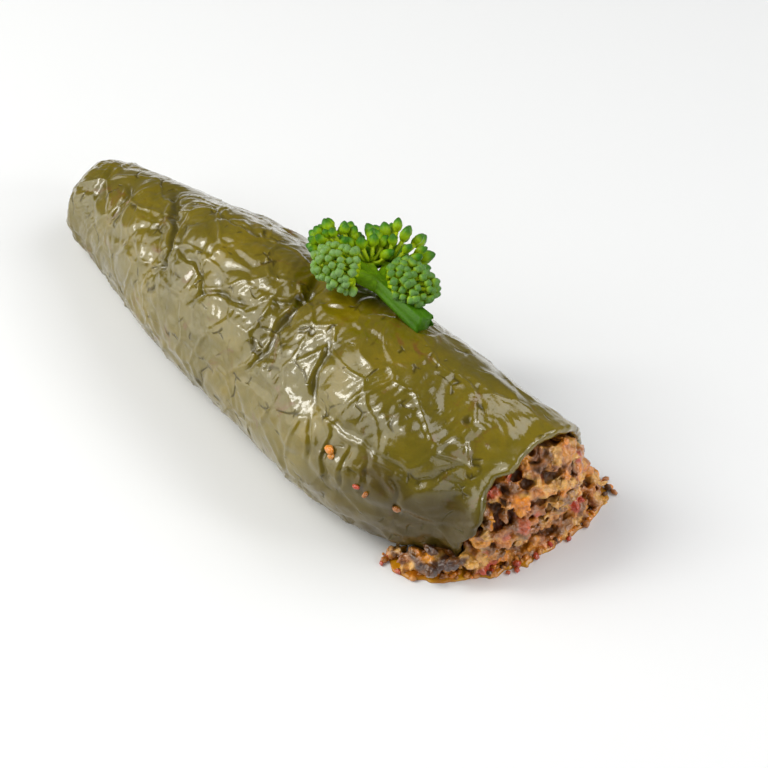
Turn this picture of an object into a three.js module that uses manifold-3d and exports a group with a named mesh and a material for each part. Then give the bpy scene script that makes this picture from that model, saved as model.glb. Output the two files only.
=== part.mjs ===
// A long green pepper, cooked whole and stuffed with minced meat. It lies on its side, its filling stands out
// of the open mouth and has slumped onto the table, and a broccoli floret lies on its back.
// Millimetres, +Z up. +X runs along the pepper from its blossom tip to its mouth, and the origin is the
// middle of the underside. The side towards -Y is called the near side, the one towards +Y the far side.
import * as THREE from "three";
import { mergeVertices } from "three/addons/utils/BufferGeometryUtils.js";
import Module from "manifold-3d";

const wasm = await Module();
wasm.setup();

// ---- Driving dimensions ----------------------------------------------------------------------------

const PEPPER_LENGTH = 182;
const WALL = 2.6; // the soft cooked wall of the pepper, skin and flesh together
const GAP = 0.3; // kept between pieces that touch
const SAG = 0.13; // share of the pepper's height that its own weight has pressed flat
const FLAT_CORNER = 5; // how softly the flat underside turns up into the flanks

// The pepper's cross-sections: share of its length, half its width, its height, and how far it bends to +Y.
const SECTIONS = [
  { at: 0.0, halfWidth: 13.5, height: 23, sideways: 5.5 },
  { at: 0.12, halfWidth: 16.5, height: 30, sideways: 3.5 },
  { at: 0.26, halfWidth: 21.5, height: 38, sideways: 1.5 },
  { at: 0.4, halfWidth: 26.0, height: 45, sideways: 0.5 },
  { at: 0.6, halfWidth: 28.5, height: 48, sideways: -0.5 },
  { at: 0.8, halfWidth: 30.0, height: 50, sideways: -2.0 },
  { at: 0.92, halfWidth: 27.5, height: 46, sideways: 1.5 },
  { at: 1.0, halfWidth: 23.5, height: 40, sideways: 9.0 },
];
const TIP_ROUNDING = 15; // length of the blunt rounded tip
const TIP_BLUNTNESS = 2.5; // 2 would be an ellipse, and more is blunter
const LOBES = 3; // a pepper grows as three lobes, with a shallow valley between each two
const LOBE_DEPTH = 0.022;
const MOUTH_LEAN = 2.5; // the cut mouth's top stands this far forward, and its foot as far back
const MOUTH_SHARE = 0.25; // share of the length over which that lean dies away
const FLAP = { reach: 2, angle: 60, spread: 26 }; // a corner of the wall that hangs further out over the filling

// Soft hollows where the cooked wall has sunk: a line on the surface from one place to another, each place
// a share of the length and an angle round it, with 0 degrees at the far side and 90 on top.
const HOLLOWS = [
  { from: [0.22, 85], to: [0.34, 148], depth: 2.2, width: 5 },
  { from: [0.41, 124], to: [0.52, 130], depth: 1.0, width: 4 },
  { from: [0.6, 84], to: [0.615, 132], depth: 1.8, width: 4.5 },
  { from: [0.71, 118], to: [0.74, 144], depth: 1.0, width: 4 },
  { from: [0.74, 144], to: [0.93, 149], depth: 1.3, width: 5 },
  { from: [0.3, 60], to: [0.55, 50], depth: 1.8, width: 9 },
  { from: [0.12, 20], to: [0.4, -5], depth: 1.5, width: 8 },
];

const BULGE = 10; // how far the filling stands out of the mouth
const BULGE_DROOP = 5; // and how far it has slumped
const LUMP = 1.1; // half the unevenness of the mince
// The mince that has slumped out round the foot of the mouth: its outline on the table, [x from the tip, y].
const SPILL_EDGE = [
  [164, -20],
  [171, -23],
  [182, -15],
  [188, -4],
  [191, 12],
  [192, 26],
  [188, 40],
  [179, 38],
  [169, 20],
  [164, 0],
];
const SPILL_HEIGHT = 14;
const SPILL_MIDDLE = [176, 9]; // which its rings close towards

const FLORET = [125, 9]; // the fork of the floret's stalk, [x from the tip, y]
const FLORET_TILT = 16; // degrees that it leans down towards the far side
const STALK_LENGTH = 21;
const STALK_RADIUS = 3.1;
const STALK_DROP = 3; // how far the stalk's cut end lies below the fork
// The floret's heads: where each lies from the fork, and its half sizes along, across and up.
const HEADS = [
  { at: [-16, 0, 2], size: [7.5, 7.0, 6.0] },
  { at: [-8, -6.5, 1.5], size: [8.5, 6.5, 6.0] },
  { at: [-9, 4, 2.5], size: [6.5, 6.5, 5.5] },
  { at: [-5, 12, 3], size: [8.5, 8.5, 7.0] },
  { at: [7, 8, 1.5], size: [9.0, 7.0, 6.0] },
];

// ---- Numbers of facets -----------------------------------------------------------------------------

const ROUND = 40; // corners round the pepper and round its filling
const ALONG = 36; // rings along its outside
const INSIDE_ALONG = 14; // and along its inside
const BULGE_RINGS = 7;
const SPILL_CORNERS = 40;
const SPILL_RINGS = 4;
const STALK_SIDES = 10;
const DOME_DETAIL = 3;

// ---- Small helpers ---------------------------------------------------------------------------------

const radians = THREE.MathUtils.degToRad;
const { clamp, lerp, smoothstep } = THREE.MathUtils;

// The unevenness of mince, between about -1 and 1, with bumps about 8 mm apart.
function lumps(x, y, z) {
  const coarse = Math.sin(0.71 * x + 1.3) * Math.sin(0.83 * y + 0.4) + Math.sin(0.77 * z + 0.31 * x);
  const fine = Math.sin(1.63 * x - 0.9 * z) * Math.cos(1.49 * y + 0.8 * z + 2.1);
  return 0.4 * coarse + 0.3 * fine;
}

// The larger of two numbers, with a soft corner where they cross.
function softMax(a, b, corner) {
  const overlap = Math.max(corner - Math.abs(a - b), 0) / corner;
  return Math.max(a, b) + (overlap ** 2 * corner) / 4;
}

function middleOf(points) {
  return points.reduce((sum, p) => sum.add(p), new THREE.Vector3()).divideScalar(points.length);
}

// A value of SECTIONS at a share of the length, on a smooth curve through its neighbours.
function sectionValue(at, name) {
  const last = SECTIONS.length - 1;
  const next = at >= 1 ? last : clamp(SECTIONS.findIndex((s) => s.at > at), 1, last);
  const [p0, p1, p2, p3] = [next - 2, next - 1, next, next + 1].map((i) => SECTIONS[clamp(i, 0, last)]);
  const span = p2.at - p1.at;
  const t = (at - p1.at) / span;
  const slope1 = ((p2[name] - p0[name]) / (p2.at - p0.at)) * span;
  const slope2 = ((p3[name] - p1[name]) / (p3.at - p1.at)) * span;
  const rise = p2[name] - p1[name];
  return p1[name] + t * (slope1 + t * (3 * rise - 2 * slope1 - slope2 + t * (slope1 + slope2 - 2 * rise)));
}

// ---- The pepper's form -----------------------------------------------------------------------------

// How deep the wall has sunk at a place, from the HOLLOWS.
function sunk(at, angle) {
  const girth = sectionValue(at, "halfWidth");
  const turned = Math.atan2(Math.sin(angle), Math.cos(angle)); // from -180 to 180 degrees
  let depth = 0;
  for (const hollow of HOLLOWS) {
    const [start, end] = [hollow.from, hollow.to].map(([share, turn]) => [share * PEPPER_LENGTH, radians(turn) * girth]);
    const line = [end[0] - start[0], end[1] - start[1]];
    const place = [at * PEPPER_LENGTH - start[0], turned * girth - start[1]];
    const along = clamp((place[0] * line[0] + place[1] * line[1]) / (line[0] ** 2 + line[1] ** 2), 0, 1);
    const distance = Math.hypot(place[0] - along * line[0], place[1] - along * line[1]);
    depth += hollow.depth * Math.exp(-((distance / hollow.width) ** 2));
  }
  return depth;
}

// How far forward the cut edge of the mouth stands at an angle.
function mouthReach(angle) {
  const fromFlap = (angle - radians(FLAP.angle)) / radians(FLAP.spread);
  return MOUTH_LEAN * Math.sin(angle) + FLAP.reach * Math.exp(-(fromFlap ** 2));
}

// A point of the pepper's form, moved in by inset. at is the share of the length, from 0 at the tip.
function pepperPoint(at, angle, inset) {
  const distance = Math.max(at * PEPPER_LENGTH - inset, 0);
  const toTip = 1 - Math.min(distance / TIP_ROUNDING, 1);
  const rounding = (1 - toTip ** TIP_BLUNTNESS) ** (1 / TIP_BLUNTNESS);
  const lobes = 1 + LOBE_DEPTH * Math.cos(LOBES * (angle - radians(100)) + 2 * at);
  const height = sectionValue(at, "height");
  const moved = inset + sunk(at, angle);
  const halfWidth = (sectionValue(at, "halfWidth") * lobes - moved) * rounding;
  const halfHeight = ((height / 2) * (1 + SAG) * lobes - moved) * rounding;
  const middle = (height / 2) * (1 - SAG);
  // The underside is pressed flat on the table, and the flat's edge is soft.
  const z = softMax(middle + halfHeight * Math.sin(angle), inset, FLAT_CORNER);
  const x = Math.max(at * PEPPER_LENGTH, inset) + mouthReach(angle) * smoothstep(at, 1 - MOUTH_SHARE, 1);
  const y = sectionValue(at, "sideways") + halfWidth * Math.cos(angle);
  return new THREE.Vector3(x, y, z);
}

function pepperRing(at, inset) {
  return Array.from({ length: ROUND }, (_, i) => pepperPoint(at, (2 * Math.PI * i) / ROUND, inset));
}

// Rings from near the tip to the mouth, closer together at the tip where the form turns fastest.
function pepperRings(count, inset) {
  const first = inset > 0 ? (WALL + GAP) / PEPPER_LENGTH : 0;
  return Array.from({ length: count }, (_, i) => pepperRing(lerp(first, 1, ((i + 1) / count) ** 1.35), inset));
}

// The one point that closes a form at the tip.
function tipPole(inset) {
  return [middleOf(pepperRing(inset / PEPPER_LENGTH, inset)).setX(inset)];
}

// ---- Solids ----------------------------------------------------------------------------------------

// Skins a list of rings of the same number of points. A ring of one point closes an end. Each facet is
// split from its corner nearest the tip, so that faces lying against each other are split alike.
function loft(rings) {
  const corners = [];
  const triangle = (a, b, c) => corners.push(...a.toArray(), ...b.toArray(), ...c.toArray());
  for (let i = 0; i + 1 < rings.length; i++) {
    const [back, front] = [rings[i], rings[i + 1]];
    const count = Math.max(back.length, front.length);
    for (let j = 0; j < count; j++) {
      const next = (j + 1) % count;
      if (back.length === 1) triangle(back[0], front[next], front[j]);
      else if (front.length === 1) triangle(back[j], back[next], front[0]);
      else if (back[j].x < front[j].x) {
        triangle(back[j], back[next], front[next]);
        triangle(back[j], front[next], front[j]);
      } else {
        triangle(back[j], back[next], front[j]);
        triangle(back[next], front[next], front[j]);
      }
    }
  }
  return new THREE.BufferGeometry().setAttribute("position", new THREE.Float32BufferAttribute(corners, 3));
}

function toSolid(geometry) {
  const bare = geometry.clone();
  for (const name of ["normal", "uv"]) bare.deleteAttribute(name);
  const merged = mergeVertices(bare, 1e-4);
  const vertProperties = merged.attributes.position.array;
  const triVerts = new Uint32Array(merged.index.array);
  return new wasm.Manifold(new wasm.Mesh({ numProp: 3, vertProperties, triVerts }));
}

function toGeometry(solid) {
  const mesh = solid.getMesh();
  const positions = new THREE.Float32BufferAttribute(mesh.vertProperties, 3);
  return new THREE.BufferGeometry()
    .setAttribute("position", positions)
    .setIndex(new THREE.BufferAttribute(mesh.triVerts, 1));
}

// ---- The pepper's wall -----------------------------------------------------------------------------

// Out along the outside, round the cut rim, and back along the inside.
function pepperWall() {
  const rim = pepperRing(1, WALL / 2).map((p) => p.setX(p.x + WALL / 4));
  const inside = pepperRings(INSIDE_ALONG, WALL).reverse();
  return loft([tipPole(0), ...pepperRings(ALONG, 0), rim, ...inside, tipPole(WALL)]);
}

// The pepper's whole form with no hollow inside, grown by the gap, for cutting what lies against it.
function pepperForm() {
  const outside = pepperRings(ALONG, 0).map((ring) => {
    const middle = middleOf(ring);
    return ring.map((p) => {
      const grown = p.clone().sub(middle).setX(0).setLength(GAP);
      return grown.add(p);
    });
  });
  const mouth = outside[ALONG - 1].map((p) => p.clone().setX(p.x + WALL / 4 + GAP));
  return toSolid(loft([tipPole(0), ...outside, mouth, [middleOf(mouth)]]));
}

// ---- The filling -----------------------------------------------------------------------------------

// One ring of the mince that stands out of the mouth: out is 0 at the rim and 1 at the foremost point.
function bulgeRing(out) {
  const spread = Math.cos((out * Math.PI) / 2) ** 0.5;
  const forward = BULGE * Math.sin((out * Math.PI) / 2);
  const mouth = pepperRing(1, WALL + GAP);
  const middle = middleOf(mouth);
  return mouth.map((p) => {
    const uneven = LUMP * lumps(p.x + 20 * out, p.y, p.z) * Math.min(out * 4, 1);
    const reach = p.clone().sub(middle).setX(0);
    reach.setLength((reach.length() + uneven) * spread);
    const x = p.x + forward + uneven * out;
    const z = Math.max(middle.z + reach.z - BULGE_DROOP * out, GAP);
    return new THREE.Vector3(x, middle.y + reach.y, z);
  });
}

// The mince that runs through the pepper from the tip and stands out of the mouth.
function stuffing() {
  const rings = Array.from({ length: BULGE_RINGS }, (_, i) => bulgeRing((i + 1) / (BULGE_RINGS + 1)));
  const foremost = middleOf(rings[BULGE_RINGS - 1]);
  foremost.x += BULGE / BULGE_RINGS / 2;
  return toSolid(loft([tipPole(WALL + GAP), ...pepperRings(INSIDE_ALONG, WALL + GAP), ...rings, [foremost]]));
}

// The low heap round the foot of the mouth, with a rounded shoulder.
function spill() {
  const edge = new THREE.CatmullRomCurve3(SPILL_EDGE.map(([x, y]) => new THREE.Vector3(x, y, 0)), true);
  const outline = edge.getSpacedPoints(SPILL_CORNERS).slice(0, SPILL_CORNERS);
  const middle = new THREE.Vector3(...SPILL_MIDDLE, 0);
  const rings = Array.from({ length: SPILL_RINGS }, (_, level) => {
    const turn = (level / SPILL_RINGS) * (Math.PI / 2);
    return outline.map((p) => {
      const uneven = lumps(p.x, p.y, 5 * level);
      const reach = p.clone().sub(middle);
      reach.setLength(reach.length() * Math.cos(turn) ** 0.6 + LUMP * uneven);
      return reach.add(middle).setZ(SPILL_HEIGHT * Math.sin(turn) * (1 + 0.1 * uneven));
    });
  });
  return toSolid(loft([[middle], ...rings, [middle.clone().setZ(SPILL_HEIGHT)]]));
}

// ---- The broccoli floret ---------------------------------------------------------------------------

// A round stem along a curve, with a radius at each of its points and a flat cut at both ends.
function stem(points, radii) {
  const curve = new THREE.CatmullRomCurve3(points);
  const steps = 2 * (points.length - 1);
  const frames = curve.computeFrenetFrames(steps);
  const rings = Array.from({ length: steps + 1 }, (_, i) => {
    const share = (i / steps) * (radii.length - 1);
    const low = Math.min(Math.floor(share), radii.length - 2);
    const radius = lerp(radii[low], radii[low + 1], share - low);
    return Array.from({ length: STALK_SIDES }, (_, j) => {
      const angle = (2 * Math.PI * j) / STALK_SIDES;
      const out = frames.normals[i].clone().multiplyScalar(Math.cos(angle));
      out.addScaledVector(frames.binormals[i], Math.sin(angle));
      return curve.getPointAt(i / steps).addScaledVector(out, radius);
    });
  });
  return toSolid(loft([[points[0]], ...rings, [points[points.length - 1]]]));
}

// One head of buds: a lumpy dome.
function head({ at, size }) {
  const dome = new THREE.IcosahedronGeometry(1, DOME_DETAIL);
  const places = dome.attributes.position;
  for (let i = 0; i < places.count; i++) {
    const p = new THREE.Vector3().fromBufferAttribute(places, i);
    const bump = 1 + 0.06 * Math.sin(7 * p.x + at[0]) * Math.sin(8 * p.y + at[1]) * Math.sin(7 * p.z);
    p.multiplyScalar(bump).multiply(new THREE.Vector3(...size)).add(new THREE.Vector3(...at));
    places.setXYZ(i, p.x, p.y, p.z);
  }
  return toSolid(dome);
}

// The stalk runs from its cut end to the fork, where a branch goes to each head.
function floret() {
  const fork = new THREE.Vector3(0, 0, 0);
  const bend = new THREE.Vector3(STALK_LENGTH * 0.5, 0.6, -STALK_DROP * 0.3);
  const cutEnd = new THREE.Vector3(STALK_LENGTH, 1.2, -STALK_DROP);
  let whole = stem([cutEnd, bend, fork], [1.1 * STALK_RADIUS, 0.95 * STALK_RADIUS, STALK_RADIUS]);
  for (const one of HEADS) {
    const end = new THREE.Vector3(...one.at);
    const start = fork.clone().setX(1.5); // inside the stalk, so that the two are one
    const halfway = end.clone().multiplyScalar(0.5).setZ(0.8);
    whole = whole.add(stem([start, halfway, end], [2.4, 1.9, 1.6])).add(head(one));
  }
  const [x, y] = FLORET;
  const back = pepperPoint(x / PEPPER_LENGTH, Math.PI / 2, 0).z;
  return whole.rotate([-FLORET_TILT, 0, 0]).translate([x, y, back + STALK_RADIUS]);
}

// ---- The whole -------------------------------------------------------------------------------------

const OLIVE = new THREE.MeshStandardMaterial({ color: 0x6f6212, roughness: 0.25, metalness: 0 });
const MINCE = new THREE.MeshStandardMaterial({ color: 0x7a4f28, roughness: 0.45, metalness: 0 });
const GREEN = new THREE.MeshStandardMaterial({ color: 0x3f6f1c, roughness: 0.5, metalness: 0 });

function piece(name, geometry, material) {
  geometry.computeVertexNormals();
  const mesh = new THREE.Mesh(geometry, material);
  mesh.name = name;
  return mesh;
}

const form = pepperForm();
const lying = new THREE.Group();
lying.add(
  piece("pepper_wall", pepperWall(), OLIVE),
  piece("filling", toGeometry(stuffing().add(spill().subtract(form))), MINCE),
  piece("broccoli_floret", toGeometry(floret().subtract(form)), GREEN),
);

// The origin goes to the middle of the underside.
const box = new THREE.Box3().setFromObject(lying);
const middle = box.getCenter(new THREE.Vector3());
lying.position.set(-middle.x, -middle.y, -box.min.z);

const stuffedPepper = new THREE.Group();
stuffedPepper.add(lying);
stuffedPepper.updateMatrixWorld(true);
export default stuffedPepper;
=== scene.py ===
# %% [markdown]
# # A cooked, stuffed green pepper
#
# The pepper lies on its side. Three solids give its true size and place: the soft wall, the mince that
# fills it, and the floret of broccoli on its back. Here each of them gets the surface that a cook would
# know: skin that has shrunk into folds under a film of oil, crumbly mince, and broccoli with hundreds of
# buds.
#
# Lengths are written in millimetres, because food is small, and turned into Blender's metres by MM.

# %% Load the frame
import math
import random

import bmesh
import bpy
import numpy as np
from mathutils import Matrix, Vector, kdtree, noise
from mathutils.bvhtree import BVHTree


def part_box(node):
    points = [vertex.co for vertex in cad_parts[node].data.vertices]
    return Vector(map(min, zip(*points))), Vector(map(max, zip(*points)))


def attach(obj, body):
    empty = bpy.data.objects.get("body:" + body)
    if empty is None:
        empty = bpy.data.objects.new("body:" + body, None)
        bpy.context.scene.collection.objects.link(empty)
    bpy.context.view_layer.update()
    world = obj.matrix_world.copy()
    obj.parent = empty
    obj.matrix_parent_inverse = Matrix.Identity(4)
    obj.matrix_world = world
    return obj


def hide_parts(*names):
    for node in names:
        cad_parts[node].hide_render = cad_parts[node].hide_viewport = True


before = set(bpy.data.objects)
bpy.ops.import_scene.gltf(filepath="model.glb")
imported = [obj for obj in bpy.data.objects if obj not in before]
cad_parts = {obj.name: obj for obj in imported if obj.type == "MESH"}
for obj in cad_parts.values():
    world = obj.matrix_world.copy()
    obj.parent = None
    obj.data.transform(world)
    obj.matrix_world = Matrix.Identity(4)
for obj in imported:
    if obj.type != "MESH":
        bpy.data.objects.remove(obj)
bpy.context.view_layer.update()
MM = 0.001


def in_mm(corner):
    return [round(c / MM, 1) for c in corner]


def add_object(name, data):
    thing = bpy.data.objects.new(name, data)
    bpy.context.scene.collection.objects.link(thing)
    return thing


# %% [markdown]
# ## Camera
#
# A long lens from about half a metre away, halfway between level and overhead, and off the mouth's corner,
# so that the whole near flank and the filling both show. The horizon is tipped by a few degrees, as it is
# with a camera that is held in the hand.

# %% Camera
VIEW_AZIMUTH = math.radians(44.5)
VIEW_ELEVATION = math.radians(44.75)
VIEW_ROLL = math.radians(3.07)
VIEW_DISTANCE = 0.5658
LENS = 93.75
SENSOR_WIDTH = 36
NEAREST_SEEN = 0.01
VIEW_CENTRE = Vector((29.4, 7.5, 14.8)) * MM


def make_camera():
    back = Vector((math.sin(VIEW_AZIMUTH), -math.cos(VIEW_AZIMUTH), 0)) * math.cos(VIEW_ELEVATION)
    back.z = math.sin(VIEW_ELEVATION)
    camera = add_object("camera", bpy.data.cameras.new("camera"))
    camera.data.lens = LENS
    camera.data.sensor_width = SENSOR_WIDTH
    camera.data.clip_start = NEAREST_SEEN
    turn = back.to_track_quat("Z", "Y").to_matrix().to_4x4() @ Matrix.Rotation(VIEW_ROLL, 4, "Z")
    camera.matrix_world = Matrix.Translation(VIEW_CENTRE + back * VIEW_DISTANCE) @ turn
    bpy.context.scene.camera = camera
    print("camera in mm:", in_mm(camera.matrix_world.translation))


make_camera()

# %% [markdown]
# ## Small helpers
#
# A finished bmesh becomes an object at the origin, with its place in its mesh. Fields of noise are worked
# out for all points of a mesh at once, in millimetres, so that "about 9 mm" can be written as 9. Each
# field has a seed, which says where in the endless noise it is read.


# %% Helpers
def mesh_from(bm, name):
    mesh = bpy.data.meshes.new(name)
    bm.to_mesh(mesh)
    bm.free()
    return mesh


def to_piece(bm, name, material, slot, *nodes):
    finish_piece(mesh_from(bm, name), name, material, slot, *nodes)


def finish_piece(mesh, name, material, slot, *nodes):
    mesh.shade_smooth()
    piece = add_object(name, mesh)
    mesh.materials.append(material)
    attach(piece, "root")
    if nodes:
        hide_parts(*nodes)
    mesh.calc_loop_triangles()
    print(name, "has", len(mesh.loop_triangles), "triangles")


def join_in(bm, part):
    """Adds a small bmesh, on which operators are quick, to a large one, on which they are slow."""
    mesh = mesh_from(part, "part")
    bm.from_mesh(mesh)
    bpy.data.meshes.remove(mesh)


def open_edges(bm):
    return [e for e in bm.edges if e.is_boundary]


def weld(bm, distance=0.001 * MM):
    bmesh.ops.remove_doubles(bm, verts=bm.verts, dist=distance)


def close_up(bm):
    bmesh.ops.holes_fill(bm, edges=open_edges(bm), sides=0)


def face_outwards(bm):
    bmesh.ops.recalc_face_normals(bm, faces=bm.faces)


def cad_copy(name):
    bm = bmesh.new()
    bm.from_mesh(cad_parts[name].data)
    weld(bm)
    return bm


def vectors_of(mesh, kind):
    """The places of a mesh's points, for "co", or their directions, for "normal"."""
    vectors = np.empty(len(mesh.vertices) * 3)
    mesh.vertices.foreach_get(kind, vectors)
    return vectors.reshape(-1, 3)


def move_points(mesh, points):
    """Moves a mesh's points to places in millimetres, none of them below the floor."""
    points[:, 2] = np.maximum(points[:, 2], 0)
    mesh.vertices.foreach_set("co", (points * MM).ravel())


def give_points(mesh, name, values, kind="FLOAT"):
    """Gives each point of a mesh a value or a colour that its material can read."""
    attribute = mesh.attributes.new(name, kind, "POINT")
    key = "value" if kind == "FLOAT" else "color"
    attribute.data.foreach_set(key, np.array(values, dtype=np.float32))


# %% Fields
def noise_at(points, size, seed):
    """Smooth noise from about -1 to 1, with bumps about as wide as size."""
    shift = np.array([17.3, 5.1, 9.7]) * seed
    return np.array([noise.noise(Vector(p)) for p in points / size + shift])


def cell_edge(points, size, seed):
    """The distance from each point to the nearest border between cells about as wide as size."""
    shift = np.array([3.7, 11.9, 7.3]) * seed
    gaps = []
    for p in points / size + shift:
        distances = noise.voronoi(Vector(p))[0]
        gaps.append(distances[1] - distances[0])
    return np.array(gaps) * size


def warped(points, reach, size, seed=0):
    """Points pushed about by noise, so that straight patterns come out bent."""
    push = [noise_at(points, size, seed + 1 + i) for i in range(3)]
    return points + reach * np.stack(push, axis=1)


def smooth_step(value, low, high):
    share = np.clip((value - low) / (high - low), 0, 1)
    return share * share * (3 - 2 * share)


def band(value, start, full, fade, end):
    """0 up to start, 1 from full to fade, and 0 again from end on."""
    return smooth_step(value, start, full) * (1 - smooth_step(value, fade, end))


def bell(distance, width):
    """1 at no distance, and less and less beyond the width."""
    return np.exp(-((distance / width) ** 2))


# %% [markdown]
# ## The pepper's skin: the form
#
# The CAD wall has the right form, but its facets are 5 mm wide, too coarse for folds. A grid is rolled up
# round it instead: each of its points is thrown onto the CAD wall from outside, towards the pepper's
# middle line. Its columns stand closer together on top, where the skin is seen, than underneath.

# %% Middle line of the pepper
wall = cad_copy("pepper_wall")
wall_tree = BVHTree.FromBMesh(wall)
wall.free()

low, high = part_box("pepper_wall")
mouth_x = high.x - 4.1 * MM  # the plane of the mouth, which the highest part of the CAD rim passes
TIP_REACH = 17 * MM  # the stretch at the tip whose points are thrown in a fan, not straight out
MIDDLE_HEIGHT = 0.45  # of the height of the pepper's top
STATIONS = 40
STATION_MARGIN = 6 * MM
# How far forward of that plane the cut rim stands, in mm, at angles round from the far side, with 90 on top.
# It hangs forward at the upper far corner and the near foot, with a notch between.
RIM_LINE = (
    (-90, -2.5), (-30, -1.5), (50, 4.2), (64, 4.4), (80, 3.5), (100, 4.0), (113, 4.8), (119, 3.3),
    (125, 1.9), (137, 2.3), (149, 3.9), (160, 5.3), (174, 5.0), (186, 2.0), (200, 0.0), (270, -2.5),
)
CAD_LEAN = 2.5 * MM  # the CAD wall's own rim leans by this much, so it ends sooner below than on top


def middle_at(x):
    """The middle of the pepper at a length: where its sides and its top are seen from outside."""
    y, z = 0.0, 0.2 * high.z
    for _ in range(3):
        top = wall_tree.ray_cast(Vector((x, y, 1)), Vector((0, 0, -1)))[0]
        near = wall_tree.ray_cast(Vector((x, -1, z)), Vector((0, 1, 0)))[0]
        far = wall_tree.ray_cast(Vector((x, 1, z)), Vector((0, -1, 0)))[0]
        y, z = (near.y + far.y) / 2, MIDDLE_HEIGHT * top.z
    return y, z


station_x = np.linspace(low.x + STATION_MARGIN, mouth_x - STATION_MARGIN, STATIONS)
station_middle = np.array([middle_at(x) for x in station_x])


def middle_line(x):
    """The middle's y and z at a length, or at an array of lengths."""
    return [np.interp(x, station_x, station_middle[:, axis]) for axis in (0, 1)]


def on_middle_line(x):
    return Vector((x, *middle_line(x)))


# %% Roll a grid up round it
RINGS = 340
COLUMNS = 256
TOP_SHARE = 0.45  # how much closer together the columns are on top
TIP_RINGS = 0.12  # share of the rings that the tip's fan takes
OUTSIDE = 60 * MM  # further from the middle line than any of the wall
SMOOTHINGS = 25


def skin_point(along, around, last_radius):
    """A place on the wall. along and around run from 0 to 1, around from the far side over the top."""
    turn = 2 * math.pi * around
    turn += TOP_SHARE * math.sin(turn - 1.5 * math.pi)
    outward = Vector((0, math.cos(turn), math.sin(turn)))
    if along < TIP_RINGS:
        fan = along / TIP_RINGS * math.pi / 2
        start = on_middle_line(low.x + TIP_REACH)
        aim = outward * math.sin(fan) - Vector((math.cos(fan), 0, 0))
    else:
        share = (along - TIP_RINGS) / (1 - TIP_RINGS)
        degrees = (math.degrees(turn) + 90) % 360 - 90
        rim = mouth_x + float(np.interp(degrees, *zip(*RIM_LINE))) * MM
        rim += 0.5 * MM * noise.noise(Vector((0.11 * degrees, 0, 0)))
        straight = low.x + TIP_REACH + share * (mouth_x - low.x - TIP_REACH)
        start = on_middle_line(straight)
        start.x += (rim - mouth_x) * max(share * 4 - 3, 0) ** 2
        aim = outward
    # Beyond the end of the CAD wall, the skin carries on as wide as it was there.
    cast = start.copy()
    cast.x = min(start.x, mouth_x + CAD_LEAN * outward.z - 2 * MM)
    hit = wall_tree.ray_cast(cast + aim * OUTSIDE, -aim)[0]
    radius = (hit - cast).length if hit else last_radius
    return start + aim * radius, radius


def roll_up():
    bm = bmesh.new()
    bmesh.ops.create_grid(bm, x_segments=RINGS, y_segments=COLUMNS, size=0.5)
    radius = {}
    for v in sorted(bm.verts, key=lambda v: v.co.x):
        along, around = v.co.x + 0.5, v.co.y + 0.5
        column = round(around * COLUMNS) % COLUMNS
        v.co, radius[column] = skin_point(along, column / COLUMNS, radius.get(column, 0.02))
    weld(bm)
    # The CAD wall's facets are rubbed away.
    inner = [v for v in bm.verts if not v.is_boundary]
    for _ in range(SMOOTHINGS):
        bmesh.ops.smooth_vert(bm, verts=inner, factor=0.5, use_axis_x=True, use_axis_y=True, use_axis_z=True)
    face_outwards(bm)
    return bm


skin = roll_up()
print("the sheet has", len(skin.verts), "points")

# %% [markdown]
# ## The cut mouth
#
# The wall of a cooked pepper is a few millimetres thick, and its cut edge is soft and round. The open edge
# of the sheet is extruded round a half circle, then back into the pepper, where the mince hides its end.

# %% Turn the edge in
WALL = 2.6 * MM
EDGE_STEPS = 6
INSIDE_DEPTHS = (2, 5, 9, 14)  # how far behind the edge each ring of the inside lies, in mm


def extrude_edge(bm, place):
    """Extrudes the open edge once. place says where each new point goes from the old one's place."""
    made = bmesh.ops.extrude_edge_only(bm, edges=open_edges(bm))["geom"]
    for v in made:
        if isinstance(v, bmesh.types.BMVert):
            v.co = place(v.co)


def turn_edge_in(bm):
    rim = [v.co.copy() for v in bm.verts if v.is_boundary]
    centre = sum(rim, Vector()) / len(rim)

    def step(co, inward, forward):
        out = Vector((0, co.y - centre.y, co.z - centre.z)).normalized()
        return co - out * inward + Vector((forward, 0, 0))

    for i in range(EDGE_STEPS):
        before, after = (math.pi * k / EDGE_STEPS for k in (i, i + 1))
        inward = WALL / 2 * (math.cos(before) - math.cos(after))
        forward = WALL / 3 * (math.sin(after) - math.sin(before))
        extrude_edge(bm, lambda co: step(co, inward, forward))
    depth = 0
    for target in INSIDE_DEPTHS:
        back = (target - depth) * MM
        depth = target
        extrude_edge(bm, lambda co: step(co, 0, -back))
    close_up(bm)
    face_outwards(bm)
    return centre


mouth_centre = turn_edge_in(skin)
print("mouth centre in mm:", in_mm(mouth_centre))
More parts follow.
